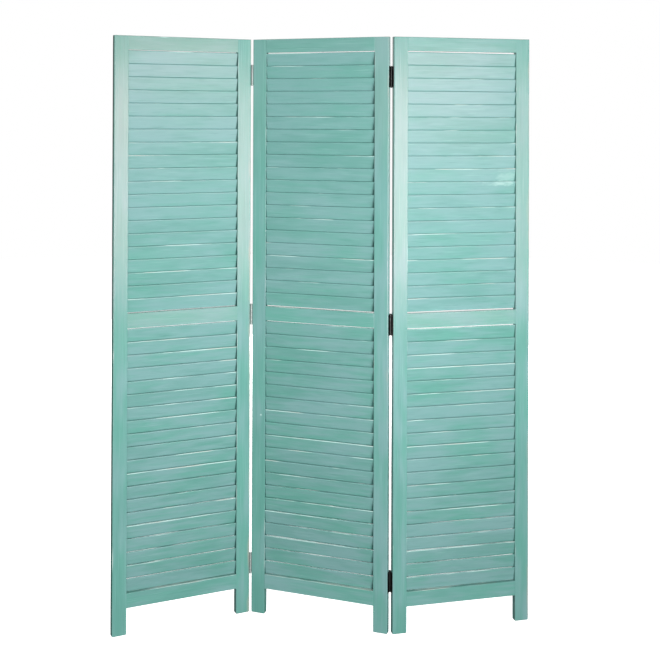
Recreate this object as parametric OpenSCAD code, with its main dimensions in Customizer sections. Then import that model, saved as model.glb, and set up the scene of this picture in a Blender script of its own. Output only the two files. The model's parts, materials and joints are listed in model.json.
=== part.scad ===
// Folding screen: three louvred wooden panels, joined edge to edge by butt hinges
// and standing in a zigzag. X runs along the screen, -Y is the front, Z is up.
// The origin is on the floor, at the centre of the standing screen's box.

/* [Panels] */
// Height of a panel, from the floor to the top of its stiles
panel_height = 1700; // [1600:10:1800]
// Width of a panel across both stiles
panel_width = 418; // [330:1:500]
// Thickness of the frame, from its front face to its back face
panel_thickness = 18; // [16:0.5:24]
// Width of a stile, seen from the front
stile_width = 42; // [38:1:60]
// Clear height of the legs, from the floor to the bottom rail
leg_height = 75; // [50:5:110]
// Height of the bottom rail
bottom_rail_height = 42; // [30:1:60]
// Height of the opening between the bottom rail and the middle rail
lower_opening_height = 750; // [690:5:800]
// Height of the middle rail
middle_rail_height = 42; // [30:1:60]
// Height of the top rail
top_rail_height = 40; // [30:1:60]
// Rounding along the outer edges of the frame
edge_radius = 2; // [1:0.25:3]
// Rounding at the corners of the feet, seen from the front
foot_corner_radius = 3; // [1:0.25:6]
// Rounding at the upper outer corners of a panel, seen from the front
top_corner_radius = 1; // [0.5:0.25:4]
// Rounding along the rail edges that face the slats
rail_edge_radius = 1; // [0.5:0.25:2]

/* [Slats] */
// Number of slats in each opening
slat_count = 20; // [18:1:22]
// Thickness of a slat, whose long edges are fully rounded
slat_thickness = 5; // [4:0.25:6]
// Tilt of a slat from upright, with its top edge to the front
slat_tilt = 12; // [6:0.5:14]
// Height by which each slat hangs behind the top edge of the one below
slat_overlap = 2.4; // [1:0.1:5]
// Gap between the top slat and the rail above it
slat_top_gap = 2.8; // [1:0.1:4]
// Gap between the bottom slat and the rail below it
slat_bottom_gap = 0.8; // [0.4:0.1:4]
// Length of a slat that is held inside each stile
slat_seat = 6; // [4:0.5:10]
// Clearance round a slat's end in its mortise
slat_clearance = 0.15; // [0.05:0.05:0.3]

/* [Dowels] */
// Diameter of the dowels between the rails and the stiles
dowel_diameter = 6; // [5:0.5:8]
// Length of a dowel, half of it in the rail
dowel_length = 30; // [20:1:36]
// Distance between the two dowels at a rail's end
dowel_spacing = 20; // [14:1:22]
// Radial clearance round a dowel
dowel_clearance = 0.05; // [0.02:0.01:0.1]
// Free depth past a dowel's end
dowel_end_gap = 0.5; // [0.2:0.1:1]

/* [Hinges] */
// Length of a hinge along its pin
hinge_length = 60; // [50:1:76]
// Width of a leaf, from the pin's axis to its far edge
leaf_width = 19.5; // [17:0.5:20]
// Thickness of a leaf
leaf_thickness = 1.1; // [1.1:0.1:1.5]
// Gap between the two leaves when the panels stand in line
leaf_gap = 0.4; // [0.4:0.1:1.5]
// Rounding at the far corners of a leaf
leaf_corner_radius = 1.5; // [0.5:0.25:3]
// Distance of the pin's axis from the faces of the panels that fold together
pin_offset = 4; // [4:0.1:5]
// Diameter of the hinge pin
pin_diameter = 3.8; // [3:0.1:3.8]
// Radial clearance between the pin and the knuckles
pin_clearance = 0.05; // [0.02:0.01:0.1]
// Wall of a knuckle round the pin
knuckle_wall = 1.15; // [1:0.05:1.4]
// Number of knuckles of the two leaves together
knuckle_count = 5; // [3:2:7]
// Gap between two knuckles, also between a knuckle and the other leaf
knuckle_gap = 0.3; // [0.2:0.05:0.5]
// Height of a pin's rounded-over end
pin_head_height = 1.2; // [0.8:0.1:2]
// Drop of the upper left hinge's centre below the top of the panels
upper_left_drop = 106.5; // [60:0.5:160]
// Drop of the upper right hinge's centre below the top of the panels
upper_right_drop = 114.5; // [60:0.5:160]
// Drop of the middle left hinge's centre below the centre of the middle rail
middle_left_drop = 4.5; // [0:0.5:20]
// Drop of the middle right hinge's centre below the centre of the middle rail
middle_right_drop = 11.5; // [0:0.5:20]
// Height of the lower left hinge's centre above the floor
lower_left_height = 146; // [100:1:200]
// Height of the lower right hinge's centre above the floor
lower_right_height = 144; // [100:1:200]

/* [Screws] */
// Number of screws in each leaf
screws_per_leaf = 3; // [2:1:4]
// Distance between neighbouring screws along the leaf
screw_pitch = 20; // [14:1:22]
// Distance by which the screws stand to either side of their line
screw_stagger = 1.5; // [0:0.25:2]
// Distance of the screws' line from the pin's axis
screw_line = 13; // [11:0.25:13.5]
// Diameter of a screw's shank
screw_diameter = 3; // [2.8:0.1:3.2]
// Diameter of a screw's countersunk head
screw_head_diameter = 4.8; // [4.4:0.1:5]
// Length of a screw, from the flat of its head to its tip
screw_length = 16; // [12:1:20]
// Clearance round a screw in the leaf and in the stile
screw_clearance = 0.05; // [0.02:0.01:0.1]
// Width of the cross recess in a screw's head
recess_width = 0.7; // [0.5:0.1:1]
// Depth of the cross recess in a screw's head
recess_depth = 0.8; // [0.4:0.1:1]

/* [Standing pose] */
// Turn of the middle panel from the line of the screen, its right edge forward
middle_turn_angle = 20.5; // [10:0.5:40]
// Fold between the left and the middle panel, counted from in line
left_fold_angle = 44.8; // [20:0.1:90]
// Fold between the middle and the right panel, counted from in line
right_fold_angle = 34.3; // [20:0.1:90]

/* [Hidden] */
$fn = 32;

// Length by which a cut runs past the surface that it opens
past = 1;

// The panels from left to right, with their turns about Z below, and the hinges from the top down
PANELS = ["left", "middle", "right"];
LEVELS = ["upper", "middle", "lower"];
turns = [left_fold_angle - middle_turn_angle, -middle_turn_angle, right_fold_angle - middle_turn_angle];

// Heights of the rails and openings above the floor
lower_opening_z = leg_height + bottom_rail_height;
middle_rail_z = lower_opening_z + lower_opening_height;
upper_opening_z = middle_rail_z + middle_rail_height;
top_rail_z = panel_height - top_rail_height;
upper_opening_height = top_rail_z - upper_opening_z;
rail_length = panel_width - 2 * stile_width;

// Slats: the chord runs between the centres of the two rounded edges
slat_radius = slat_thickness / 2;
slat_length = rail_length + 2 * slat_seat;
mortise_depth = slat_seat + 2 * slat_clearance;
function slat_pitch(opening) =
    (opening - slat_top_gap - slat_bottom_gap - slat_overlap) / slat_count;
function slat_chord(opening) =
    (slat_pitch(opening) + slat_overlap - slat_thickness) / cos(slat_tilt);
function slat_z(opening, i) =
    slat_bottom_gap + (slat_pitch(opening) + slat_overlap) / 2 + i * slat_pitch(opening);

// Hinges: a pin stands clear of the panels by pin_offset and midway between their edges
edge_gap = 2 * leaf_thickness + leaf_gap;
knuckle_radius = pin_diameter / 2 + pin_clearance + knuckle_wall;
knuckle_length = (hinge_length - (knuckle_count - 1) * knuckle_gap) / knuckle_count;
plate_start = knuckle_radius + knuckle_gap;
middle_rail_centre = middle_rail_z + middle_rail_height / 2;
hinge_heights = [
    [panel_height - upper_left_drop, middle_rail_centre - middle_left_drop, lower_left_height],
    [panel_height - upper_right_drop, middle_rail_centre - middle_right_drop, lower_right_height]
];
pilot_depth = screw_length + 2 * screw_clearance;
head_height = (screw_head_diameter - screw_diameter) / 2;
tip_height = screw_diameter;
tip_radius = screw_diameter / 15;

// Plan of the standing screen: the pins join the panels, left pin in front, right pin behind
function turned(p, a) = [p.x * cos(a) - p.y * sin(a), p.x * sin(a) + p.y * cos(a)];
pin_on_right_edge = [panel_width + edge_gap / 2, -pin_offset];
pin_on_left_edge = [-edge_gap / 2, panel_thickness + pin_offset];
left_pin = turned([-edge_gap / 2, -pin_offset], turns[1]);
right_pin = turned([panel_width + edge_gap / 2, panel_thickness + pin_offset], turns[1]);
loose_origins = [
    left_pin - turned(pin_on_right_edge, turns[0]),
    [0, 0],
    right_pin - turned(pin_on_left_edge, turns[2])
];
edge_centres = [for (k = [0:2], u = [edge_radius, panel_width - edge_radius],
    v = [edge_radius, panel_thickness - edge_radius]) loose_origins[k] + turned([u, v], turns[k])];
xs = [for (p = edge_centres) p.x];
ys = [for (p = edge_centres) p.y];
plan_centre = [max(xs) + min(xs), max(ys) + min(ys)] / 2;

// A panel's own axes: X along its width, Y from the front face to the back, Z up
module in_panel(k) {
    place = loose_origins[k] - plan_centre;
    translate([place.x, place.y, 0]) rotate(turns[k]) children();
}

// A square with its chosen corners rounded: radii for bottom left, bottom right, top right, top left
module rounded_rectangle(size, radii) {
    corners = [[0, 0], [1, 0], [1, 1], [0, 1]];
    difference() {
        square(size);
        for (i = [0:3]) if (radii[i] > 0) {
            inward = [1 - 2 * corners[i].x, 1 - 2 * corners[i].y];
            centre = [corners[i].x * size.x, corners[i].y * size.y] + inward * radii[i];
            difference() {
                translate(centre - [for (d = inward) (d > 0 ? 1 : 0) * radii[i]] ) square(radii[i]);
                translate(centre) circle(radii[i]);
            }
        }
    }
}

// Section of a slat across its length, at a tilt, with its top edge to the front
module slat_section(opening, clearance = 0) {
    half = slat_chord(opening) / 2;
    radius = slat_radius + clearance;
    rotate(slat_tilt) union() {
        translate([-radius, -half]) square([2 * radius, 2 * half]);
        for (end = [-half, half]) translate([0, end]) circle(radius);
    }
}

// Sweeps a section drawn in the panel's Y and Z along its X
module along_width(length) {
    rotate([90, 0, 90]) linear_extrude(length) children();
}

module slats(z, opening) {
    for (i = [0:slat_count - 1])
        translate([stile_width - slat_seat, panel_thickness / 2, z + slat_z(opening, i)])
            along_width(slat_length) slat_section(opening);
}

module mortises(z, opening) {
    for (i = [0:slat_count - 1])
        translate([stile_width - mortise_depth, panel_thickness / 2, z + slat_z(opening, i)])
            along_width(mortise_depth + past) slat_section(opening, slat_clearance);
}

// Centres of the dowels at one end of the rails, by height
dowel_heights = [for (middle = [
        leg_height + bottom_rail_height / 2,
        middle_rail_centre,
        top_rail_z + top_rail_height / 2
    ], side = [-1, 1]) middle + side * dowel_spacing / 2];

module dowels() color("burlywood") {
    for (u = [stile_width, panel_width - stile_width], z = dowel_heights)
        translate([u - dowel_length / 2, panel_thickness / 2, z])
            rotate([0, 90, 0]) cylinder(d = dowel_diameter, h = dowel_length);
}

module dowel_holes() {
    depth = dowel_length / 2 + dowel_end_gap;
    for (u = [stile_width, panel_width - stile_width], z = dowel_heights)
        translate([u - depth, panel_thickness / 2, z])
            rotate([0, 90, 0]) cylinder(r = dowel_diameter / 2 + dowel_clearance, h = 2 * depth);
}

module rail(z, height, lower_radius, upper_radius) color("mediumaquamarine") {
    difference() {
        translate([stile_width, 0, z]) along_width(rail_length)
            rounded_rectangle([panel_thickness, height],
                [lower_radius, lower_radius, upper_radius, upper_radius]);
        dowel_holes();
    }
}

// Stile on the left of a panel, with the outer edges and the feet rounded
module stile_blank() {
    intersection() {
        linear_extrude(panel_height)
            rounded_rectangle([stile_width, panel_thickness], [edge_radius, 0, 0, edge_radius]);
        along_width(stile_width) rounded_rectangle([panel_thickness, panel_height],
            [edge_radius, edge_radius, edge_radius, edge_radius]);
        translate([0, panel_thickness, 0]) rotate([90, 0, 0]) linear_extrude(panel_thickness)
            rounded_rectangle([stile_width, panel_height],
                [foot_corner_radius, foot_corner_radius, 0, top_corner_radius]);
    }
}

// Screw places of one leaf, as [distance from the pin's axis, height from the hinge's centre]
screw_places = [for (i = [0:screws_per_leaf - 1])
    [screw_line + (i % 2 == 0 ? -1 : 1) * screw_stagger, (i - (screws_per_leaf - 1) / 2) * screw_pitch]];

// Puts a hinge's own axes on a panel's edge: X from the pin into the panel,
// Y from the pin towards the far face, Z up from the hinge's centre
module at_hinge(on_right_edge, pin_behind, z) {
    u = on_right_edge ? panel_width + edge_gap / 2 : -edge_gap / 2;
    v = pin_behind ? panel_thickness + pin_offset : -pin_offset;
    translate([u, v, z]) mirror([on_right_edge ? 1 : 0, 0, 0]) mirror([0, pin_behind ? 1 : 0, 0])
        children();
}

module pilot_holes(on_right_edge, pin_behind, heights) {
    for (z = heights, place = screw_places)
        at_hinge(on_right_edge, pin_behind, z)
            translate([edge_gap / 2 - past, place.x, place.y]) rotate([0, 90, 0])
                cylinder(r = screw_diameter / 2 + screw_clearance, h = pilot_depth - leaf_thickness + past);
}

// Left stile of panel k; the hinged ones have pilot holes for their screws
module left_stile(k) color("mediumaquamarine") {
    difference() {
        stile_blank();
        mortises_in_left_stile();
        dowel_holes();
        if (k == 1) pilot_holes(false, false, hinge_heights[0]);
        if (k == 2) pilot_holes(false, true, hinge_heights[1]);
    }
}

module right_stile(k) color("mediumaquamarine") {
    difference() {
        translate([panel_width, 0, 0]) mirror([1, 0, 0]) difference() {
            stile_blank();
            mortises_in_left_stile();
        }
        dowel_holes();
        if (k == 0) pilot_holes(true, false, hinge_heights[0]);
        if (k == 1) pilot_holes(true, true, hinge_heights[1]);
    }
}

module mortises_in_left_stile() {
    mortises(lower_opening_z, lower_opening_height);
    mortises(upper_opening_z, upper_opening_height);
}

// Knuckle i of a hinge, counted from below, in the hinge's own axes
module at_knuckle(i) {
    translate([0, 0, -hinge_length / 2 + i * (knuckle_length + knuckle_gap)]) children();
}

// A leaf with the knuckles from number first on, every second one
module hinge_leaf(first) {
    own = [first:2:knuckle_count - 1];
    hole = screw_diameter / 2 + screw_clearance;
    head = screw_head_diameter / 2 + screw_clearance;
    difference() {
        union() {
            translate([leaf_gap / 2, plate_start, -hinge_length / 2]) along_width(leaf_thickness)
                rounded_rectangle([leaf_width - plate_start, hinge_length],
                    [0, leaf_corner_radius, leaf_corner_radius, 0]);
            for (i = own) at_knuckle(i) {
                cylinder(r = knuckle_radius, h = knuckle_length);
                translate([leaf_gap / 2, 0, 0]) cube([leaf_thickness, plate_start + past, knuckle_length]);
            }
        }
        for (i = own) at_knuckle(i) translate([0, 0, -past])
            cylinder(r = pin_diameter / 2 + pin_clearance, h = knuckle_length + 2 * past);
        for (place = screw_places) translate([leaf_gap / 2, place.x, place.y]) rotate([0, 90, 0]) {
            translate([0, 0, -past]) cylinder(r = hole, h = leaf_thickness + 2 * past);
            translate([0, 0, -past]) cylinder(r1 = head + past, r2 = hole, h = head - hole + past);
        }
    }
}

module hinge_pin() {
    head_radius = knuckle_radius - knuckle_gap;
    shank = hinge_length + 2 * knuckle_gap;
    translate([0, 0, -shank / 2]) cylinder(d = pin_diameter, h = shank);
    for (end = [0, 1]) mirror([0, 0, end]) translate([0, 0, shank / 2])
        cylinder(r1 = head_radius, r2 = pin_diameter / 4, h = pin_head_height);
}

// Wood screw along X, the flat of its head at X = 0
module wood_screw() {
    rotate([0, 90, 0]) difference() {
        union() {
            cylinder(r1 = screw_head_diameter / 2, r2 = screw_diameter / 2, h = head_height);
            translate([0, 0, head_height])
                cylinder(d = screw_diameter, h = screw_length - head_height - tip_height);
            translate([0, 0, screw_length - tip_height])
                cylinder(r1 = screw_diameter / 2, r2 = tip_radius, h = tip_height);
        }
        for (turn = [0, 90]) rotate(turn)
            translate([-screw_diameter / 2, -recess_width / 2, -past])
                cube([screw_diameter, recess_width, recess_depth + past]);
    }
}

module hinge_screws(on_right_edge, pin_behind, heights) {
    for (z = heights, place = screw_places)
        at_hinge(on_right_edge, pin_behind, z)
            translate([leaf_gap / 2, place.x, place.y]) wood_screw();
}

left_metal = "darkgray";
right_metal = "dimgray";

for (k = [0:2]) {
    name = str(PANELS[k], "_panel");
    in_panel(k) left_stile(k);
    in_panel(k) right_stile(k);
    in_panel(k)
        rail(top_rail_z, top_rail_height, rail_edge_radius, edge_radius);
    in_panel(k)
        rail(middle_rail_z, middle_rail_height, rail_edge_radius, rail_edge_radius);
    in_panel(k)
        rail(leg_height, bottom_rail_height, rail_edge_radius, rail_edge_radius);
    in_panel(k)
        color("mediumaquamarine") slats(upper_opening_z, upper_opening_height);
    in_panel(k)
        color("mediumaquamarine") slats(lower_opening_z, lower_opening_height);
    in_panel(k) dowels();
}

// Left hinges lie in front of the panels, right hinges behind them
for (i = [0:2]) {
    left_hinge = str(LEVELS[i], "_left_hinge");
    right_hinge = str(LEVELS[i], "_right_hinge");
    left_z = hinge_heights[0][i];
    right_z = hinge_heights[1][i];
    in_panel(0) at_hinge(true, false, left_z) color(left_metal) hinge_leaf(1);
    in_panel(1) at_hinge(false, false, left_z) color(left_metal) hinge_leaf(0);
    in_panel(1) at_hinge(false, false, left_z) color(left_metal) hinge_pin();
    in_panel(2) at_hinge(false, true, right_z) color(right_metal) hinge_leaf(1);
    in_panel(1) at_hinge(true, true, right_z) color(right_metal) hinge_leaf(0);
    in_panel(1) at_hinge(true, true, right_z) color(right_metal) hinge_pin();
}

in_panel(0) color(left_metal) hinge_screws(true, false, hinge_heights[0]);  // left_panel_hinge_screws
in_panel(1) color(left_metal) hinge_screws(false, false, hinge_heights[0]);  // middle_panel_left_hinge_screws
in_panel(1) color(right_metal) hinge_screws(true, true, hinge_heights[1]);  // middle_panel_right_hinge_screws
in_panel(2) color(right_metal) hinge_screws(false, true, hinge_heights[1]);  // right_panel_hinge_screws
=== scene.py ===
# Folding screen: three louvred panels in a worn aqua wash over pine, with two runs of butt hinges.
# Metres throughout. X runs along the screen, -Y is the front, Z is up, the floor is at Z = 0.
import math

import bpy
import numpy as np
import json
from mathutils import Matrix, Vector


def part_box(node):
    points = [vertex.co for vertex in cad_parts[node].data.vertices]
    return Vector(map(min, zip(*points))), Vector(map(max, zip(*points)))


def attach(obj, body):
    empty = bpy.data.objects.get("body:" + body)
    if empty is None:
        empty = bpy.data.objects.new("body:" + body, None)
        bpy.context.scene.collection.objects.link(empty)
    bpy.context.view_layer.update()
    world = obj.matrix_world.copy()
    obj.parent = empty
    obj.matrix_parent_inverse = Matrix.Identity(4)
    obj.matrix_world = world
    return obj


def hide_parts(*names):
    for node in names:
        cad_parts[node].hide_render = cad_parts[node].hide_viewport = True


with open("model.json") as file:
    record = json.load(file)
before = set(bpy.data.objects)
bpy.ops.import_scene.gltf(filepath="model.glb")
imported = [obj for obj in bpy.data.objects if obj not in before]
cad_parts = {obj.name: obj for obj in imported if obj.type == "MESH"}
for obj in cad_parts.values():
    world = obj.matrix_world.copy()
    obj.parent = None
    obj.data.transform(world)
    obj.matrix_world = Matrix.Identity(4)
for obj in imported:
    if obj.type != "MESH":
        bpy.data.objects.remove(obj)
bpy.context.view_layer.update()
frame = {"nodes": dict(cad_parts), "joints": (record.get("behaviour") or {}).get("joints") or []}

MM = 0.001

# Driving sizes of the screen, as the workshop drawing has them
PANELS = ("left", "middle", "right")
TURNS = (24.3, -20.5, 13.8)
PANEL_WIDTH = 418 * MM
PANEL_THICKNESS = 18 * MM
STILE_WIDTH = 42 * MM
EDGE_GAP = 2.6 * MM
PIN_OFFSET = 4 * MM
EDGE_RADIUS = 2 * MM
RAIL_EDGE_RADIUS = 1 * MM
FOOT_RADIUS = 3 * MM
TOP_RADIUS = 1 * MM
SLAT_COUNT = 20
SLAT_THICKNESS = 5 * MM
SLAT_TILT = math.radians(12)
SLAT_OVERLAP = 2.4 * MM
SLAT_TOP_GAP = 2.8 * MM
SLAT_BOTTOM_GAP = 0.8 * MM
SLAT_SEAT = 6 * MM

# How far the end slats of each panel's banks stand above their places, in millimetres, as the lines of
# daylight beside them show. A top slat can be a little askew, so it has one height for each end. Each slat
# farther in is moved by this share of what moves the one before it
SET_SHARE = 0.6
TOP_SLAT_SET = {"upper": ((1.3, 1.3), (0.8, 0.8), (0.3, -1.2)), "lower": ((1.3, 1.3), (1.4, 1.4), (0.6, 0.6))}
LOWEST_SLAT_SET = {"upper": (0.4, 1.0, 2.1), "lower": (-0.5, -0.5, -0.5)}
# A slat's slow rise and fall, how long its longest wave is, and how far its lean strays, in degrees
SLAT_WAVE = 0.22 * MM
SLAT_WAVE_LENGTH = 400 * MM
LEAN_STRAY = 0.35

# First seed of each kind of board's chance marks
SEEDS = {"stile": 11, "rail": 61, "slats": 101}

# The wash, panel by panel: where the left and right stiles stand between the screen's greenest board, 0, and
# its bluest, 1, and how far the slats lie from the middle of these
STILE_TONE = ((0.47, 0.43), (0.51, 0.97), (0.75, 0.52))
SLAT_TONE = (0.0, -0.25, 0.05)
# How far it has faded to the wood's grey at the top of the left and right stiles, and on the rails
FADED_STILES = ((0.11, 0.0), (0.04, 0.09), (0.05, 0.03))
FADED_RAILS = {"bottom": (0.0, 0.0, 0.0), "middle": (0.05, 0.0, 0.03), "top": (0.14, 0.04, 0.04)}
# How far it is rubbed off along the right edge, which hands pull, and how strong the painted shade is on the
# inner stile sides
HANDLED = (0.75, 0.4, 0.75)
INNER_SHADE = (1.0, 1.0, 0.2)
# How wide the painted shadow is in the corners where slats and stiles meet, as a stile's cast shadow on the
# slats, and how much wider it is at a slat's foot than at its top, in the corner by the right stile
CORNER_SHADOW_WIDTH = (2.5 * MM, 2.5 * MM, 1.3 * MM)
RIGHT_END_SHADOW_GROWTH = (2 * MM, 10 * MM, 0 * MM)

# How strong the painted shade is on the slats' crowns and where each slat of a bank hangs behind the next
LAP_SHADE = {"upper": 0.1, "lower": 1.0}
# How far it is rubbed off the top and the under edge of a rail
RAIL_RUB = {"bottom": (0.45, 0.9), "middle": (0.0, 0.3), "top": (0.8, 0.3)}
# How far wear reaches from an arris, from a stile's end, and from the edge that hands pull
ARRIS_REACH = 1.3 * MM
END_REACH = 2 * MM
HAND_REACH = 7 * MM
# How strong the wear is on the stiles' and rails' arrises, on the rails' top faces, where it is partly
# painted light, and on the slats' lower edges. At 1 about half of an edge is worn pale
OUTER_ARRIS_WEAR = {"left": 0.55, "right": 0.3}
INNER_ARRIS_WEAR = 0.75
RAIL_ARRIS_WEAR = 0.6
RAIL_TOP_WEAR_AND_LIGHT = 0.9
SLAT_FOOT_WEAR = 0.35


def smooth(low, high, x):
    """0 below low, 1 above high, and 3t^2 - 2t^3 of the way t between them."""
    t = np.clip((x - low) / (high - low), 0.0, 1.0)
    return t * t * (3.0 - 2.0 * t)


def uneven(x, seed, length, terms=7):
    """Hand-made unevenness along a line: 1.6 times the mean of sine waves, weighted by their lengths, which
    fall from length to a sixth of it. Each has its own random phase, so the result is about -1 to 1, and the
    same for the same seed."""
    rng = np.random.default_rng(seed)
    waves = length / np.linspace(1.0, 6.0, terms)
    phases = rng.uniform(0.0, 2.0 * np.pi, terms)
    sizes = waves / waves.sum()
    return 1.6 * sum(s * np.sin(2.0 * np.pi * x / w + p) for s, w, p in zip(sizes, waves, phases))


# Places of the panels

def turned(p, angle):
    """Point p turned about Z by angle: (x cos a - y sin a, x sin a + y cos a)."""
    c, s = math.cos(angle), math.sin(angle)
    return np.array([p[0] * c - p[1] * s, p[0] * s + p[1] * c])


pins = {j["name"]: np.array(j["pos_m"][:2]) for j in frame["joints"]}
angles = [math.radians(t) for t in TURNS]
right_edge = PANEL_WIDTH + EDGE_GAP / 2
origins = (
    pins["left_fold"] - turned((right_edge, -PIN_OFFSET), angles[0]),
    pins["left_fold"] - turned((-EDGE_GAP / 2, -PIN_OFFSET), angles[1]),
    pins["right_fold"] - turned((-EDGE_GAP / 2, PANEL_THICKNESS + PIN_OFFSET), angles[2]),
)


def heights(node):
    """Lowest and highest Z of a CAD node."""
    low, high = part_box(node)
    return low.z, high.z


foot, top = heights("middle_panel_left_stile")
rail_heights = {name: heights(f"middle_panel_{name}_rail") for name in ("bottom", "middle", "top")}
openings = {
    "lower": (rail_heights["bottom"][1], rail_heights["middle"][0]),
    "upper": (rail_heights["middle"][1], rail_heights["top"][0]),
}


def in_panel(k, points):
    """Points of panel k's own axes (along its width, from its front face to its back, up) in the shared
    frame: turned by the panel's angle about Z, then moved to its front left corner."""
    c, s = math.cos(angles[k]), math.sin(angles[k])
    x, y, z = points[..., 0], points[..., 1], points[..., 2]
    return np.stack([origins[k][0] + x * c - y * s, origins[k][1] + x * s + y * c, z], -1)


# Mesh making

def skin(name, k, rings, values, material):
    """Closed boards in one mesh. rings is (boards, rings, points, 3) in panel k's own axes: ring i is joined
    to ring i + 1 by quads, point j to point j + 1 and the last to the first, and one flat face shuts each
    end. values is {attribute: one number per point}. The attribute panel_place keeps each point's place in
    the panel's own axes, moved along by k metres, for the patterns. Where the boards come out inside out, by
    their signed volume, every face is turned round."""
    boards, count, points, _ = rings.shape
    start = np.arange(boards)[:, None, None] * count * points
    i = np.arange(count - 1)[None, :, None]
    j = np.arange(points)[None, None, :]
    following = (j + 1) % points
    quads = np.stack([start + i * points + j, start + i * points + following,
                      start + (i + 1) * points + following, start + (i + 1) * points + j], -1).reshape(-1, 4)
    first = (np.arange(boards)[:, None] * count * points + np.arange(points)[None, :])[:, ::-1]
    last = np.arange(boards)[:, None] * count * points + (count - 1) * points + np.arange(points)[None, :]
    places = in_panel(k, rings).reshape(-1, 3)
    corners = places[quads]
    volume = np.einsum("ij,ij->i", corners[:, 0], np.cross(corners[:, 1], corners[:, 2])
                       + np.cross(corners[:, 2], corners[:, 3])).sum()
    if volume < 0:
        quads, first, last = quads[:, ::-1], first[:, ::-1], last[:, ::-1]
    mesh = bpy.data.meshes.new(name)
    mesh.from_pydata(places.tolist(), [], quads.tolist() + first.tolist() + last.tolist())
    lie = mesh.attributes.new("panel_place", "FLOAT_VECTOR", "POINT")
    lie.data.foreach_set("vector", (rings + np.array([float(k), 0.0, 0.0])).astype(np.float32).ravel())
    for key, value in values.items():
        attribute = mesh.attributes.new(key, "FLOAT", "POINT")
        spread = np.broadcast_to(value, (boards, count, points))
        attribute.data.foreach_set("value", spread.astype(np.float32).ravel())
    sides = np.zeros(len(mesh.polygons), bool)
    sides[:len(quads)] = True
    mesh.polygons.foreach_set("use_smooth", sides)
    mesh.materials.append(material)
    mesh.validate()
    piece = bpy.data.objects.new(name, mesh)
    bpy.context.scene.collection.objects.link(piece)
    return piece


def rounded_section(low, high, radii, arc=5):
    """Closed section with four rounded corners. low and high are the corners of its rectangle and radii its
    four corner radii, counted from low round by the far side of the first axis; each has one row for every
    ring. A corner is an arc of equal steps, and a side has points close to its arcs and at its thirds, so
    that it shades flat. Gives the points, each point's distance from the nearest arc, and the number of the
    arc it is nearest to."""
    low, high, radii = (np.asarray(a, float) for a in (low, high, radii))
    sides = ((0, 0), (1, 0), (1, 1), (0, 1))
    arcs = []
    for n, (right, back) in enumerate(sides):
        r = radii[:, n:n + 1]
        centre_x = np.where(right, high[:, :1] - r, low[:, :1] + r)
        centre_y = np.where(back, high[:, 1:] - r, low[:, 1:] + r)
        angle = np.radians(180 + 90 * n) + np.linspace(0.0, np.pi / 2, arc)[None, :]
        arcs.append(np.stack([centre_x + r * np.cos(angle), centre_y + r * np.sin(angle)], -1))
    near = np.array([0.4, 1.2, 3.0]) * MM
    points, clear, nearest = [], [], []
    for n in range(4):
        start, end = arcs[n][:, -1:], arcs[(n + 1) % 4][:, :1]
        length = np.linalg.norm(end - start, axis=-1, keepdims=True)
        even = np.broadcast_to(np.array([1 / 3, 1 / 2, 2 / 3])[None, :, None], length.shape[:1] + (3, 1))
        steps = np.concatenate([near[None, :, None] / length, even, 1 - near[None, ::-1, None] / length], 1)
        points += [arcs[n], start + (end - start) * steps]
        mean = length[:, 0, 0].mean()
        at = np.median(steps[:, :, 0], 0) * mean
        clear += [np.zeros(arc), np.minimum(at, mean - at)]
        nearest += [np.full(arc, n), np.where(at < mean / 2, n, (n + 1) % 4)]
    return np.concatenate(points, 1), np.concatenate(clear), np.concatenate(nearest)


def stations(length, step, extra=()):
    """Distances from 0 to length: about every step, and each extra one, each once."""
    even = np.linspace(0, length, int(round(length / step)) + 1)
    return np.unique(np.round(np.concatenate([even, extra]), 6))


# Colours and materials

def hex_colour(text):
    """An sRGB hex value as the linear colour that shaders take."""
    values = [int(text[i:i + 2], 16) / 255 for i in (1, 3, 5)]
    return tuple(v / 12.92 if v <= 0.04045 else ((v + 0.055) / 1.055) ** 2.4 for v in values) + (1.0,)


def add(tree, kind, inputs=None, **settings):
    """Adds a node of this kind, makes its settings, and gives each input a value or a link from a socket."""
    made = tree.nodes.new(kind)
    for key, value in settings.items():
        setattr(made, key, value)
    for key, value in (inputs or {}).items():
        if isinstance(value, bpy.types.NodeSocket):
            tree.links.new(value, made.inputs[key])
        else:
            made.inputs[key].default_value = value
    return made


def new_material(name):
    """An empty material with its output node."""
    material = bpy.data.materials.new(name)
    material.use_nodes = True
    material.node_tree.nodes.clear()
    return material, material.node_tree, add(material.node_tree, "ShaderNodeOutputMaterial")


# Places of the mix node's sockets: a colour mix has its factor at 0, its colours at 6 and 7, its result at 2
FACTOR, FIRST, SECOND, MIXED = 0, 6, 7, 2

WASH_GREEN = "#639D92"
WASH_BLUE = "#78A1A0"
WASH_DEEP = "#5B9289"
WASH_PALE = "#8FBEB6"
WASH_DARK = "#4A7A73"
# The dark of the painted shade in recesses, corners and overlaps
SHADE_TONE = "#24504C"
WORN_PALE = "#B4D4CE"
BARE_PINE = "#B0A498"
# The wax over the wash gives its sheen a faint warm cast
WAX_SHEEN = "#FFC4D1"
WAXED_PAINT_IOR = 1.5

# Sizes of the wash's patterns, lengthways and across, in metres
WIDE_CLOUDS = (0.20, 0.10)
DEEP_CLOUDS = (0.35, 0.10)
WORN_STRETCHES = (0.14, 0.02)
WORN_FLECKS = (0.03, 0.003)
RUBBED_PATCHES = (0.12, 0.03)
BARE_PATCHES = (0.10, 0.02)
SCUFF_EDGE = (0.020, 0.006)
# The grain's real streaks are under 1 mm wide, and are drawn 2 mm wide so that they show
GRAIN_WIDTH = 2 * MM

# What each point of a board carries for its wash: a number that tells its board from the others, how worn it
# is by its arris and by use, how far it is rubbed bare, how much painted shade darkens it, and how faded it
# is
BOARD_VALUES = ("board", "arris", "use", "rub", "painted_shade", "faded")
# A board's patterns are moved by its number times this, in steps of the pattern, so that each has its own
BOARD_SHIFT = (31.7, 1.0, 53.1)


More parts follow.
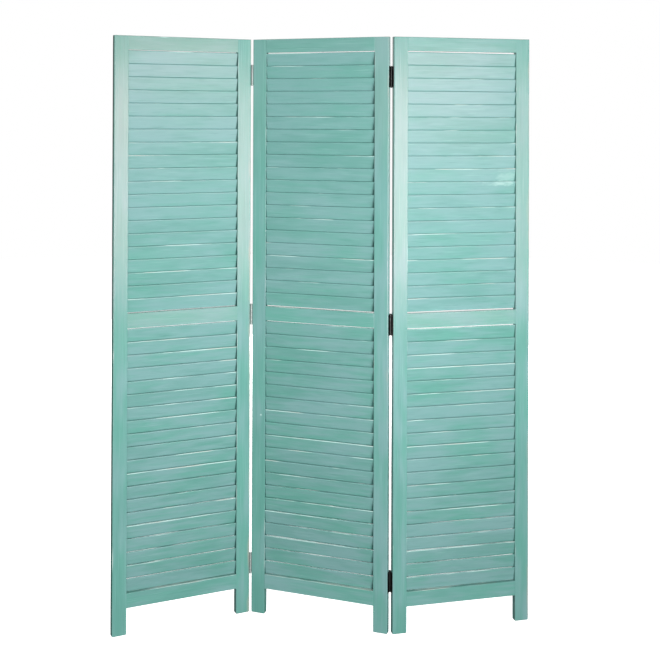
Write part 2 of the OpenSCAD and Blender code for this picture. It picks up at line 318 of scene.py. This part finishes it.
def washed_pine(name, lengthways, roughness, streak, tone_spread, blueness, scuffs=()):
    """Water-thin aqua paint brushed on sanded pine, waxed to a satin, then rubbed through along the arrises.
    The eye sees soft clouds of green and blue-grey drawn out along each board, fine streaks, and pale or
    grey-brown lines where the wash is worn through. lengthways is the panel's axis that the boards run along,
    streak the length of a streak in metres, tone_spread how much one board differs from the next, and
    blueness a lean of the clouds towards blue-grey, or green where it is negative. scuffs are pale marks,
    each by its place, its reach and its strength, in the panel's own axes."""
    material, tree, out = new_material(name)
    place = add(tree, "ShaderNodeAttribute", attribute_name="panel_place").outputs["Vector"]
    board, arris, use, rub, painted_shade, faded = (
        add(tree, "ShaderNodeAttribute", attribute_name=key).outputs["Fac"] for key in BOARD_VALUES)
    own_shift = add(tree, "ShaderNodeVectorMath", {0: board, 1: BOARD_SHIFT}, operation="MULTIPLY").outputs[0]

    def drawn_out(size, seed, own=True, detail=2.0, rough=0.5):
        """Noise drawn out lengthways, each step of it this long and this wide. It differs from board to board
        where own is set, and runs on over them otherwise."""
        along, across = 1 / size[0], 1 / size[1]
        steps = (along, across, across) if lengthways == "X" else (across, across, along)
        at = add(tree, "ShaderNodeVectorMath", {0: place, 1: steps, 2: (seed, 2.3 * seed, 0.7 * seed)},
                 operation="MULTIPLY_ADD").outputs[0]
        if own:
            at = add(tree, "ShaderNodeVectorMath", {0: at, 1: own_shift}, operation="ADD").outputs[0]
        return add(tree, "ShaderNodeTexNoise", {"Vector": at, "Scale": 1.0, "Detail": detail,
                                                "Roughness": rough}).outputs["Fac"]

    def swung(base, pattern, size):
        """base moved by size times a pattern's distance from its middle: base + size (pattern - 1/2)."""
        away = add(tree, "ShaderNodeMath", {0: pattern, 1: 0.5}, operation="SUBTRACT").outputs[0]
        return add(tree, "ShaderNodeMath", {0: away, 1: size, 2: base}, operation="MULTIPLY_ADD").outputs[0]

    def coated(under, tone, amount, low, high, most=1.0):
        """under with a coat of this tone over it. The coat covers none of it where the amount is low and this
        share of it, at most, where it is high, and 3t^2 - 2t^3 of that the way t between."""
        share = add(tree, "ShaderNodeMapRange", {"Value": amount, "From Min": low, "From Max": high,
                                                 "To Min": 0.0, "To Max": most},
                    interpolation_type="SMOOTHSTEP").outputs["Result"]
        return add(tree, "ShaderNodeMix", {FACTOR: share, FIRST: under, SECOND: hex_colour(tone)},
                   data_type="RGBA").outputs[MIXED]

    # Clouds of green and blue-grey: wide ones over the whole panel, and ones as long as a streak on each
    # board. They are stronger low down, where the wash ran
    clouds = swung(0.0, drawn_out(WIDE_CLOUDS, 3.1, own=False), 1.1)
    clouds = swung(clouds, drawn_out((streak, streak / 9), 5.3), 0.8)
    height = add(tree, "ShaderNodeSeparateXYZ", {0: place}).outputs["Z"]
    strength_here = add(tree, "ShaderNodeMapRange", {"Value": height, "From Min": 1.4, "From Max": 0.6,
                                                     "To Min": 0.75, "To Max": 1.6},
                        interpolation_type="SMOOTHSTEP").outputs["Result"]
    hue = add(tree, "ShaderNodeMath", {0: clouds, 1: strength_here, 2: blueness},
              operation="MULTIPLY_ADD").outputs[0]
    hue = swung(hue, board, tone_spread)
    colour = coated(hex_colour(WASH_GREEN), WASH_BLUE, hue, -0.42, 0.42)
    deep = swung(drawn_out(DEEP_CLOUDS, 9.7, own=False), drawn_out((streak, streak / 6), 2.9), 0.8)
    colour = coated(colour, WASH_DEEP, deep, 0.44, 0.72, 0.40)
    # Fine pale and dark streaks along the grain, and over them the fading
    grain = drawn_out((streak, GRAIN_WIDTH), 1.7, detail=3.0, rough=0.55)
    colour = coated(colour, WASH_PALE, grain, 0.58, 0.76, 0.40)
    colour = coated(colour, WASH_DARK, grain, 0.42, 0.26, 0.30)
    colour = add(tree, "ShaderNodeMix", {FACTOR: faded, FIRST: colour, SECOND: hex_colour(BARE_PINE)},
                 data_type="RGBA").outputs[MIXED]
    # Wear: pale where the wash is thin, and grey-brown in patches where it is rubbed through to the wood
    worn = add(tree, "ShaderNodeMath", {0: arris, 1: use}, operation="ADD").outputs[0]
    worn = swung(worn, drawn_out(WORN_STRETCHES, 7.1), 2.3)
    worn = swung(worn, drawn_out(WORN_FLECKS, 8.3), 0.5)
    colour = coated(colour, WORN_PALE, worn, 0.80, 1.15, 0.9)
    patches = add(tree, "ShaderNodeMapRange", {"Value": drawn_out(RUBBED_PATCHES, 6.7), "From Min": 0.46,
                                               "From Max": 0.60, "To Min": 0.0, "To Max": 0.4},
                  interpolation_type="SMOOTHSTEP").outputs["Result"]
    colour = coated(colour, BARE_PINE, worn, 0.85, 1.25, patches)
    bare = swung(rub, drawn_out(BARE_PATCHES, 12.1), 1.4)
    colour = coated(colour, BARE_PINE, bare, 0.45, 1.15, 0.65)
    for centre, reach, strength in scuffs:
        away = add(tree, "ShaderNodeVectorMath", {0: place, 1: centre}, operation="SUBTRACT").outputs[0]
        away = add(tree, "ShaderNodeVectorMath", {0: away, 1: reach}, operation="DIVIDE").outputs[0]
        length = add(tree, "ShaderNodeVectorMath", {0: away}, operation="LENGTH").outputs["Value"]
        ragged = swung(length, drawn_out(SCUFF_EDGE, 4.1, detail=3.0, rough=0.65), 2.0)
        colour = coated(colour, WORN_PALE, ragged, 1.1, 0.2, strength)
    # Painted shade: darker where recesses, corners and overlaps fall in shade
    shade_share = add(tree, "ShaderNodeMath", {0: painted_shade, 1: 0.8}, operation="MULTIPLY").outputs[0]
    colour = add(tree, "ShaderNodeMix", {FACTOR: shade_share, FIRST: colour, SECOND: hex_colour(SHADE_TONE)},
                 data_type="RGBA").outputs[MIXED]
    rough = add(tree, "ShaderNodeMapRange", {"Value": worn, "From Min": 0.8, "From Max": 1.2,
                                             "To Min": roughness, "To Max": roughness + 0.2},
                interpolation_type="SMOOTHSTEP").outputs["Result"]
    rough = swung(rough, grain, 0.10)
    bump = add(tree, "ShaderNodeBump", {"Strength": 0.35, "Distance": 0.3 * MM, "Height": grain})
    shader = add(tree, "ShaderNodeBsdfPrincipled", {"Base Color": colour, "Roughness": rough,
                                                    "Normal": bump.outputs["Normal"],
                                                    "IOR": WAXED_PAINT_IOR,
                                                    "Specular Tint": hex_colour(WAX_SHEEN)})
    tree.links.new(shader.outputs["BSDF"], out.inputs["Surface"])
    return material


def scuff(k, along, height, reach, strength):
    """A pale mark on the front of panel k, this far along and up it: its place, k metres farther along as
    panel_place has it, how far it spreads along, through and up the panel, and its strength."""
    return (k + along, 0.0, height), reach, strength


# A pale dot shows on the middle panel's left stile, and a scuff, made by two marks, on the right one's slats
stile_dot = scuff(1, 0.029, 0.587, (0.004, 0.03, 0.004), 1.0)
slat_scuffs = [scuff(2, 0.330, 1.278, (0.055, 0.05, 0.008), 0.45),
               scuff(2, 0.350, 1.295, (0.040, 0.05, 0.022), 0.25)]
stile_wash = washed_pine("aqua_wash_on_pine_stiles", "Z", 0.24, 0.16, 0.5, -0.16, [stile_dot])
rail_wash = washed_pine("aqua_wash_on_pine_rails", "X", 0.24, 0.12, 0.1, -0.12)
slat_wash = washed_pine("aqua_wash_on_pine_slats", "X", 0.295, 0.09, 0.22, 0.13, slat_scuffs)

# Blotches on the hinges are like handling marks on plate. The grit is far finer than a millimetre, and is
# drawn coarser so that it shows
BLOTCH = 3 * MM
GRIT = 0.6 * MM


def hinge_metal(name, bright, dull, rough, metallic, speck):
    """Pressed steel with a thin finish, in small blotches of two tones, rougher where it is dull."""
    material, tree, out = new_material(name)
    place = add(tree, "ShaderNodeTexCoord").outputs["Object"]
    blotch = add(tree, "ShaderNodeTexNoise", {"Vector": place, "Scale": 1 / BLOTCH, "Detail": 3.0})
    grit = add(tree, "ShaderNodeTexNoise", {"Vector": place, "Scale": 1 / GRIT, "Detail": 1.0})
    share = add(tree, "ShaderNodeMapRange", {"Value": blotch.outputs["Fac"], "From Min": 0.42,
                                             "From Max": 0.42 + speck, "To Min": 0.0, "To Max": 1.0},
                interpolation_type="SMOOTHSTEP").outputs["Result"]
    colour = add(tree, "ShaderNodeMix", {FACTOR: share, FIRST: hex_colour(dull), SECOND: hex_colour(bright)},
                 data_type="RGBA").outputs[MIXED]
    roughness = add(tree, "ShaderNodeMapRange", {"Value": share, "From Min": 0.0, "From Max": 1.0,
                                                 "To Min": rough + 0.12, "To Max": rough}).outputs["Result"]
    bump = add(tree, "ShaderNodeBump", {"Strength": 0.2, "Distance": 0.1 * MM, "Height": grit.outputs["Fac"]})
    shader = add(tree, "ShaderNodeBsdfPrincipled", {"Base Color": colour, "Metallic": metallic,
                                                    "Roughness": roughness, "Normal": bump.outputs["Normal"]})
    tree.links.new(shader.outputs["BSDF"], out.inputs["Surface"])
    return material


# Dull zinc plate, whose chalky film hides most of the metal's gloss, on the left joint's hinges, and lacquer,
# which is black all over with narrow highlights, on the right joint's
grey_steel = hinge_metal("zinc_plated_steel_dull", "#A8B0AE", "#929896", 0.55, 0.35, 0.2)
black_steel = hinge_metal("black_lacquered_steel", "#0D0E0D", "#060606", 0.3, 0.0, 0.3)

# Beech has short darker flecks along its grain. The dowels lie level, so a fleck is long in X and Y and
# narrow in Z
FLECK_LENGTH = 2.5 * MM
FLECK_WIDTH = 2 / 3 * MM
BEECH_PALE = "#D9B98C"
BEECH_FLECK = "#B48C5C"


def bare_beech():
    """Turned beech dowel, unfinished: pale brown with short darker flecks along the grain."""
    material, tree, out = new_material("bare_beech")
    place = add(tree, "ShaderNodeTexCoord").outputs["Object"]
    steps = (1 / FLECK_LENGTH, 1 / FLECK_LENGTH, 1 / FLECK_WIDTH)
    at = add(tree, "ShaderNodeVectorMath", {0: place, 1: steps}, operation="MULTIPLY").outputs[0]
    fleck = add(tree, "ShaderNodeTexNoise", {"Vector": at, "Scale": 1.0, "Detail": 2.0}).outputs["Fac"]
    colour = add(tree, "ShaderNodeMix", {FACTOR: fleck, FIRST: hex_colour(BEECH_PALE),
                                         SECOND: hex_colour(BEECH_FLECK)}, data_type="RGBA").outputs[MIXED]
    shader = add(tree, "ShaderNodeBsdfPrincipled", {"Base Color": colour, "Roughness": 0.6})
    tree.links.new(shader.outputs["BSDF"], out.inputs["Surface"])
    return material


beech = bare_beech()


# Boards

def finish_piece(piece, k, slot, *nodes):
    """The piece moves with panel k and stands for these CAD nodes. slot is not used."""
    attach(piece, f"{PANELS[k]}_panel")
    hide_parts(*nodes)
    return piece


def near_joint(z):
    """1 along the openings and the legs, and 0 where a rail meets the stile, turning over 3 mm."""
    clear = np.ones_like(z)
    for low, high in rail_heights.values():
        clear *= 1 - smooth(low - 1 * MM, low + 2 * MM, z) * (1 - smooth(high - 2 * MM, high + 1 * MM, z))
    return clear


def drawn_in(r, d):
    """How far a face has drawn in at distance d from an end that is rounded with radius r: a quarter circle,
    r - sqrt(r^2 - (r - d)^2), and 0 past it."""
    return r - np.sqrt(np.clip(r * r - np.clip(r - d, 0, r) ** 2, 0, None))


def stile(k, side, seed):
    """A stile of panel k: rounded sections carried from the foot to the top, drawn in towards both ends. The
    outer arrises have the drawing's radius or a little more, and the inner ones are eased along the openings
    and legs and sharp at the rails. The wear falls off as exp(-d / reach) with the distance d from an arris
    or an end."""
    name = f"{PANELS[k]}_panel_{side}_stile"
    is_left = side == "left"
    ends = np.array([0, 0.15, 0.5, 1.0, 1.5, 2.0, 2.5, 3.0, 4.5, 7]) * MM
    steps = np.array([-2, -1, 0, 1, 2, 3]) * MM
    joints = np.concatenate([np.array(h)[:, None] + steps for h in rail_heights.values()])
    z = stations(top - foot, 10 * MM, np.concatenate([ends, top - foot - ends, joints.ravel() - foot])) + foot
    z = z[(z >= foot) & (z <= top)]
    below, above = z - foot, top - z
    face = drawn_in(EDGE_RADIUS, below) + drawn_in(EDGE_RADIUS, above)
    outer = drawn_in(FOOT_RADIUS, below) + drawn_in(TOP_RADIUS, above)
    inner = drawn_in(FOOT_RADIUS, below)
    left_x, right_x = (outer, inner) if is_left else (inner, outer)
    low = np.stack([left_x, face], -1)
    high = np.stack([STILE_WIDTH - right_x, PANEL_THICKNESS - face], -1)
    outer_radius = EDGE_RADIUS * (1.05 + 0.15 * np.abs(uneven(z, seed, 0.30)))
    inner_radius = (0.05 + near_joint(z) * (0.75 + 0.25 * uneven(z, seed + 1, 0.20))) * MM
    left_r, right_r = (outer_radius, inner_radius) if is_left else (inner_radius, outer_radius)
    radii = np.stack([left_r, right_r, right_r, left_r], -1)
    room = np.minimum(high - low, 1).min(-1) / 2.2
    section, clear, nearest = rounded_section(low, high, np.minimum(radii, room[:, None]))
    offset = 0.0 if is_left else PANEL_WIDTH - STILE_WIDTH
    level = np.broadcast_to(z[:, None, None], section.shape[:2] + (1,))
    points = np.concatenate([section + np.array([offset, 0.0]), level], -1)

    rows = np.ones((len(z), 1))
    on_inside = np.isin(nearest, (1, 2) if is_left else (0, 3))
    near_arris = np.exp(-clear / ARRIS_REACH)[None, :] * rows
    # The inner arris isn't worn where a rail runs into it
    arris = np.where(on_inside[None, :], INNER_ARRIS_WEAR * near_arris * near_joint(z)[:, None],
                     OUTER_ARRIS_WEAR[side] * near_arris)
    # Painted shade on the inner side along the slats, where the recess falls in shade
    along = section[len(z) // 2, :, 0]
    inner_side = along > STILE_WIDTH - 0.3 * MM if is_left else along < 0.3 * MM
    painted_shade = np.where(inner_side, smooth(0.2 * MM, 1.5 * MM, clear), 0.0)[None, :] * near_joint(z)[:, None]
    painted_shade = painted_shade * (INNER_SHADE[k] * (z > openings["lower"][0])[:, None])
    end_wear = np.maximum(np.exp(-below / END_REACH), np.exp(-above / END_REACH))[:, None]
    handled = 0.0 if is_left else HANDLED[k]
    outer_rub = np.where(on_inside, 0.0, handled * np.exp(-clear / HAND_REACH))[None, :] * rows
    # The wash fades from 1.25 m up
    faded = FADED_STILES[k][not is_left] * smooth(1.25, 1.5, z)
    values = {"board": np.full((1, 1, 1), STILE_TONE[k][not is_left]), "arris": arris[None],
              "use": np.zeros((1, 1, 1)), "rub": np.maximum(outer_rub, end_wear)[None],
              "painted_shade": painted_shade[None], "faded": faded[None, :, None]}
    piece = skin(f"{name}_board", k, points[None], values, stile_wash)
    return finish_piece(piece, k, "washed_paint", name)


def rail(k, level, seed):
    """A rail of panel k: rounded sections carried along the panel's width, from stile to stile. Its long
    arrises have the drawing's radius or a little more."""
    name = f"{PANELS[k]}_panel_{level}_rail"
    low_z, high_z = rail_heights[level]
    length = PANEL_WIDTH - 2 * STILE_WIDTH
    x = stations(length, 8 * MM, [1 * MM, 3 * MM, length - 3 * MM, length - 1 * MM])
    even = smooth(0, 12 * MM, np.minimum(x, length - x))
    upper_radius = EDGE_RADIUS if level == "top" else RAIL_EDGE_RADIUS
    lower = RAIL_EDGE_RADIUS * (1.02 + 0.30 * even * np.abs(uneven(x, seed, 0.15)))
    upper = upper_radius * (1.02 + 0.20 * even * np.abs(uneven(x, seed + 1, 0.15)))
    ones = np.ones((len(x), 1))
    section, clear, nearest = rounded_section(ones * np.array([[0.0, low_z]]),
                                              ones * np.array([[PANEL_THICKNESS, high_z]]),
                                              np.stack([lower, lower, upper, upper], -1))
    points = np.stack([np.broadcast_to(x[:, None] + STILE_WIDTH, section.shape[:2]), section[..., 0],
                       section[..., 1]], -1)
    height = section[0, :, 1]
    arris = RAIL_ARRIS_WEAR * np.exp(-clear / ARRIS_REACH) * np.isin(nearest, (2, 3))
    if level != "top":
        # The top faces are pale from front to back: partly rubbed by hands and feet, and partly painted light
        # that stands in for light from above
        arris = np.maximum(arris, RAIL_TOP_WEAR_AND_LIGHT * smooth(high_z - 1.3 * MM, high_z - 0.5 * MM, height))
    over, under = RAIL_RUB[level]
    rub = np.maximum(over * smooth(high_z - 1.6 * MM, high_z - 0.4 * MM, height),
                     under * smooth(low_z + 1.4 * MM, low_z + 0.3 * MM, height))
    # The seed gives each rail a place of its own between the greenest board and the bluest
    values = {"board": np.full((1, 1, 1), (seed * 0.137) % 1.0), "arris": arris[None, None, :],
              "use": np.zeros((1, 1, 1)), "rub": rub[None, None, :], "painted_shade": np.zeros((1, 1, 1)),
              "faded": np.full((1, 1, 1), FADED_RAILS[level][k])}
    piece = skin(f"{name}_board", k, points[None], values, rail_wash)
    return finish_piece(piece, k, "washed_paint", name)


def slats(k, level, seed):
    """The twenty slats of one opening. A slat's section is two half circles joined by flat faces, leaning
    back from its top edge, and it is carried along the panel's width with a slow rise and fall and a lean of
    its own."""
    name = f"{PANELS[k]}_panel_{level}_slats"
    low_z, high_z = openings[level]
    height = high_z - low_z
    pitch = (height - SLAT_TOP_GAP - SLAT_BOTTOM_GAP - SLAT_OVERLAP) / SLAT_COUNT
    chord = (pitch + SLAT_OVERLAP - SLAT_THICKNESS) / math.cos(SLAT_TILT)
    r = SLAT_THICKNESS / 2
    arc = np.linspace(0.0, np.pi, 9)
    near = np.array([0.5, 2.0, 4.0]) * MM
    flat = np.concatenate([near, np.array([1 / 3, 2 / 3]) * chord, chord - near[::-1]]) - chord / 2
    # Section in the slat's own axes: first across its thickness (front is negative), second up its face
    section = np.concatenate([
        np.stack([-r * np.cos(arc), chord / 2 + r * np.sin(arc)], -1),
        np.stack([np.full(len(flat), r), flat[::-1]], -1),
        np.stack([r * np.cos(arc), -chord / 2 - r * np.sin(arc)], -1),
        np.stack([np.full(len(flat), -r), flat], -1),
    ])
    length = PANEL_WIDTH - 2 * STILE_WIDTH + 2 * SLAT_SEAT
    near_end = SLAT_SEAT + np.array([0, 1, 2, 3.5, 5, 7, 9, 12]) * MM
    x = stations(length, 15 * MM, np.concatenate([near_end[:3], length - near_end]))
    rng = np.random.default_rng(seed)
    number = np.arange(SLAT_COUNT)
    lean = SLAT_TILT + np.radians(rng.uniform(-LEAN_STRAY, LEAN_STRAY, SLAT_COUNT))
    centre = low_z + SLAT_BOTTOM_GAP + (pitch + SLAT_OVERLAP) / 2 + number * pitch
    rise = np.stack([uneven(x, seed * 100 + n, SLAT_WAVE_LENGTH) for n in number]) * SLAT_WAVE
    # The end slats bow away from the rails, so that they keep clear of them
    rise[0] = np.abs(rise[0])
    rise[-1] = -np.abs(rise[-1])
    rise += (SET_SHARE ** number)[:, None] * LOWEST_SLAT_SET[level][k] * MM
    from_top = SET_SHARE ** (SLAT_COUNT - 1 - number)
    rise += from_top[:, None] * np.interp(x, (0, length), TOP_SLAT_SET[level][k])[None, :] * MM
    across, up = section[:, 0], section[:, 1]
    c, s = np.cos(lean)[:, None], np.sin(lean)[:, None]
    depth = PANEL_THICKNESS / 2 + across * c - up * s
    level_z = centre[:, None] + across * s + up * c
    shape = (SLAT_COUNT, len(x), len(section))
    points = np.stack([np.broadcast_to(x[None, :, None] + STILE_WIDTH - SLAT_SEAT, shape),
                       np.broadcast_to(depth[:, None, :], shape),
                       np.broadcast_to(level_z[:, None, :], shape) + rise[:, :, None]], -1)

    # Wear is strongest on the front of the top edge, and weak on the bottom edge
    crest, toe = chord / 2, -chord / 2
    towards_top = smooth(crest - 0.5 * MM, crest + 0.8 * MM, up) * smooth(-0.3 * MM, -1.0 * MM, across)
    towards_foot = SLAT_FOOT_WEAR * smooth(toe + 0.5 * MM, toe - 1.5 * MM, up)
    # Hands reach the lower slats more, but not the lowest one, and each slat has had its own share
    use = rng.uniform(-0.54, -0.04, SLAT_COUNT) + 0.15 * smooth(1.25, 0.6, centre)
    use -= 0.35 * smooth(0.19, 0.14, centre)
    # Painted shadow in the corner beside each stile, as the stile casts it, and painted shade on the crown
    # and under the overlap
    ends = np.minimum(x - SLAT_SEAT, length - SLAT_SEAT - x)
    right = (x > length / 2)[:, None]
    run = RIGHT_END_SHADOW_GROWTH[k] * smooth(crest, toe, up)[None, :] * right
    corner = (0.4 + 0.6 * right) * smooth(CORNER_SHADOW_WIDTH[k] + run, 0.6 * run, ends[:, None])
    crown = 0.2 * smooth(crest + 1.0 * MM, crest + 1.8 * MM, up) * smooth(-1.1 * MM, -0.4 * MM, across)
    lap = 0.15 * smooth(toe + 5.0 * MM, toe + 1.0 * MM, up)
    crown_and_lap_shade = np.maximum(crown, lap) * LAP_SHADE[level]
    shade = np.maximum(corner[None], crown_and_lap_shade[None, None, :]) * np.ones((SLAT_COUNT, 1, 1))
    # The lowest slat's foot stands clear of the others, so it has no painted shade under an overlap
    shade[0] = np.maximum(corner, crown[None, :])
    values = {"board": (rng.uniform(0, 1, SLAT_COUNT) + SLAT_TONE[k])[:, None, None],
              "arris": np.maximum(towards_top, towards_foot)[None, None, :], "use": use[:, None, None],
              "rub": np.zeros((1, 1, 1)), "painted_shade": shade, "faded": np.zeros((1, 1, 1))}
    piece = skin(f"{name}_boards", k, points, values, slat_wash)
    return finish_piece(piece, k, "washed_paint", name)


for k in range(len(PANELS)):
    for n, side in enumerate(("left", "right")):
        stile(k, side, SEEDS["stile"] + 10 * k + 3 * n)
    for n, level in enumerate(("bottom", "middle", "top")):
        rail(k, level, SEEDS["rail"] + 10 * k + 3 * n)
    for n, level in enumerate(("lower", "upper")):
        slats(k, level, SEEDS["slats"] + 10 * k + n)

for name, solid in frame["nodes"].items():
    if "_hinge" in name:
        black = "_right_hinge" in name or name == "right_panel_hinge_screws"
        solid.data.materials.clear()
        solid.data.materials.append(black_steel if black else grey_steel)
    elif name.endswith("dowels"):
        solid.data.materials.clear()
        solid.data.materials.append(beech)


# Studio

FLOOR_RADIUS = 9.0


def floor_disc(radius, rings=24, sides=96):
    """Flat floor: a disc of rings, point (i, j) at radius r_i and angle 2 pi j / sides."""
    r = radius * np.linspace(0.02, 1.0, rings)[:, None]
    a = np.linspace(0, 2 * np.pi, sides, endpoint=False)[None, :]
    points = np.stack([r * np.cos(a), r * np.sin(a), np.zeros((rings, sides))], -1).reshape(-1, 3)
    i = np.arange(rings - 1)[:, None] * sides
    j = np.arange(sides)[None, :]
    following = (j + 1) % sides
    quads = np.stack([i + j, i + sides + j, i + sides + following, i + following], -1).reshape(-1, 4)
    mesh = bpy.data.meshes.new("floor")
    mesh.from_pydata(points.tolist(), [], quads.tolist() + [list(range(sides))])
    floor = bpy.data.objects.new("floor", mesh)
    bpy.context.scene.collection.objects.link(floor)
    return floor


def white_floor():
    """Matt white studio floor, lit so evenly that it stays white right up to the feet."""
    material, tree, out = new_material("matt_white_floor")
    shader = add(tree, "ShaderNodeBsdfPrincipled", {"Base Color": hex_colour("#F4F4F4"), "Roughness": 0.8,
                                                    "Emission Color": hex_colour("#FFFFFF"),
                                                    "Emission Strength": 1.0})
    tree.links.new(shader.outputs["BSDF"], out.inputs["Surface"])
    return material


floor = floor_disc(FLOOR_RADIUS)
floor.data.materials.append(white_floor())
floor.visible_diffuse = False
floor.visible_glossy = False


def studio_air(seen, fill):
    """White all round for the camera, and a weak even fill for the surfaces."""
    world = bpy.data.worlds.new("studio")
    bpy.context.scene.world = world
    world.use_nodes = True
    tree = world.node_tree
    tree.nodes.clear()
    rays = add(tree, "ShaderNodeLightPath").outputs["Is Camera Ray"]
    white = add(tree, "ShaderNodeBackground", {"Color": hex_colour("#FFFFFF"), "Strength": seen}).outputs[0]
    weak = add(tree, "ShaderNodeBackground", {"Color": hex_colour("#F2F6F6"), "Strength": fill}).outputs[0]
    both = add(tree, "ShaderNodeMixShader", {0: rays, 1: weak, 2: white}).outputs[0]
    add(tree, "ShaderNodeOutputWorld", {"Surface": both})


def soft_light(name, place, aim, width, height, power, spread=180):
    """A rectangular soft light at place, facing aim, that no camera sees. power is in watts, and spread is
    how wide it shines, in degrees."""
    data = bpy.data.lights.new(name, "AREA")
    data.shape = "RECTANGLE"
    data.size, data.size_y = width, height
    data.energy = power
    data.spread = math.radians(spread)
    lamp = bpy.data.objects.new(name, data)
    bpy.context.scene.collection.objects.link(lamp)
    away = np.array(place) - np.array(aim)
    yaw = math.atan2(away[0], -away[1])
    pitch = math.atan2(math.hypot(away[0], away[1]), away[2])
    lamp.rotation_euler = (pitch, 0.0, yaw)
    lamp.location = place
    lamp.visible_camera = False
    return lamp


studio_air(1.0, 0.08)
# A near lamp at shoulder height brightens the faces that look right, and three far ones light the whole front
soft_light("key_light", (1.118, -1.6, 1.205), (-0.15, 0.0, 1.244), 1.2, 1.0, 7.2, 82)
soft_light("front_fill", (0.9, -5.9, 0.5), (0.0, 0.0, 0.7), 0.9, 0.8, 260)
soft_light("low_fill", (-1.2, -4.2, 0.2), (0.0, 0.0, 0.35), 0.8, 0.6, 31)
soft_light("top_light", (0.8, -4.5, 5.5), (0.0, 0.0, 0.9), 2.4, 1.8, 142)
back_fill = soft_light("back_fill", (0.9, 4.2, 0.8), (0.0, 0.0, 0.8), 3.2, 1.4, 200)
# The boards' edges mirror the white paper behind the screen, and not the lamp that stands there for its back
back_fill.visible_glossy = False
soft_light("white_paper", (0.0, 5.0, 1.7), (0.0, 0.0, 1.7), 8.0, 5.0, 113)

# Camera: at eye height, a little to the left of the screen's middle, as the picture's vanishing points give
# it. It looks level but for a tilt and a roll of a fraction of a degree, which are given in degrees
PICTURE = 660
FOCAL_PIXELS = 1135.26
CENTRE_PIXEL = (291.7, 114.0)
SENSOR = 36.0
CAMERA_PLACE = (-0.0943, -3.3017, 1.4619)
CAMERA_PITCH = 90.287
CAMERA_ROLL = -0.202
CLIP_RANGE = (0.05, 60.0)

data = bpy.data.cameras.new("studio_camera")
data.sensor_width = SENSOR
data.lens = FOCAL_PIXELS / PICTURE * SENSOR
data.shift_x = (PICTURE / 2 - CENTRE_PIXEL[0]) / PICTURE
data.shift_y = (CENTRE_PIXEL[1] - PICTURE / 2) / PICTURE
data.clip_start, data.clip_end = CLIP_RANGE
camera = bpy.data.objects.new("studio_camera", data)
bpy.context.scene.collection.objects.link(camera)
camera.location = CAMERA_PLACE
camera.rotation_euler = (math.radians(CAMERA_PITCH), math.radians(CAMERA_ROLL), 0.0)
bpy.context.scene.camera = camera
bpy.context.scene.view_settings.view_transform = "Standard"
